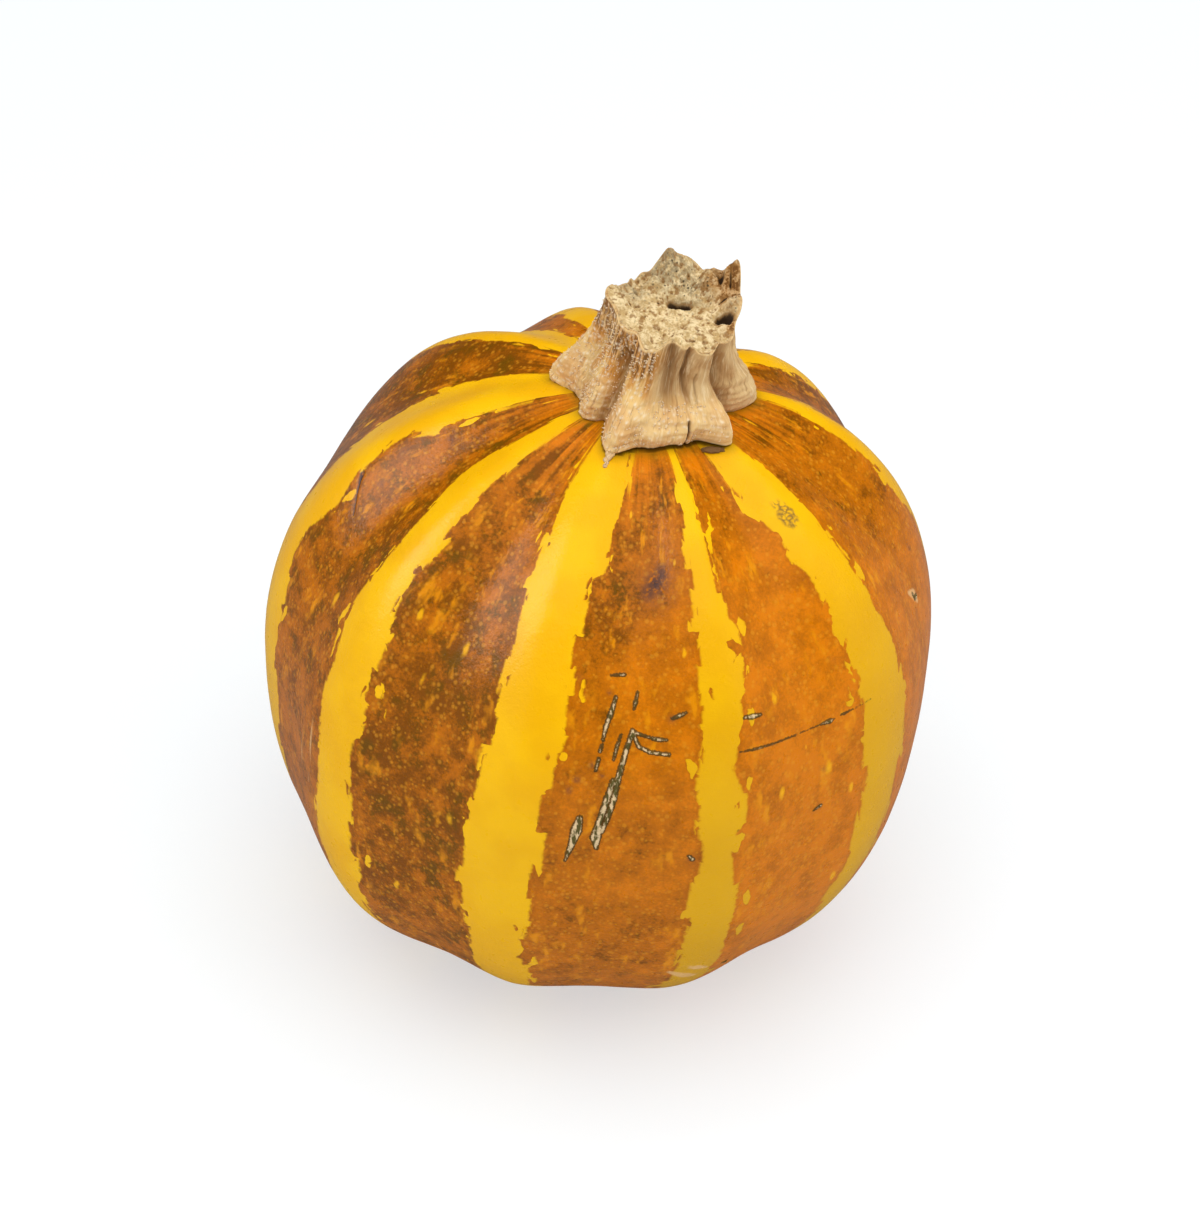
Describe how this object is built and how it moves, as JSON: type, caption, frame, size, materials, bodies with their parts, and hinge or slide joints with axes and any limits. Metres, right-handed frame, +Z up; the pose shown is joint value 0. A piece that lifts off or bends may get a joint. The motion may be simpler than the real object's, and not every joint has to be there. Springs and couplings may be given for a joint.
{
  "type": "pumpkin",
  "caption": "Small round ribbed pumpkin with dark and yellow stripes and a dried, fluted, broken-off stem, resting upright on its foot.",
  "frame": {"origin": "middle of the flattened spot that the fruit rests on, below the fruit's core", "axes": "+Z up along the fruit's core towards the stem, -Y towards the side with the widest dark stripe and its corky scars, +X towards the side that the stem leans to"},
  "size_m": [0.1227, 0.1231, 0.1418],
  "materials": {
    "rind": "hard smooth rind with a soft waxy sheen, yellow stripes on the rib crests between speckled brown and orange stripes",
    "dried_stem": "dry, matt, fibrous tan husk with pale bristle bases, and a spongy cream broken face"
  },
  "bodies": {
    "root": {"fruit": "rind", "stem": "dried_stem"}
  },
  "joints": []
}
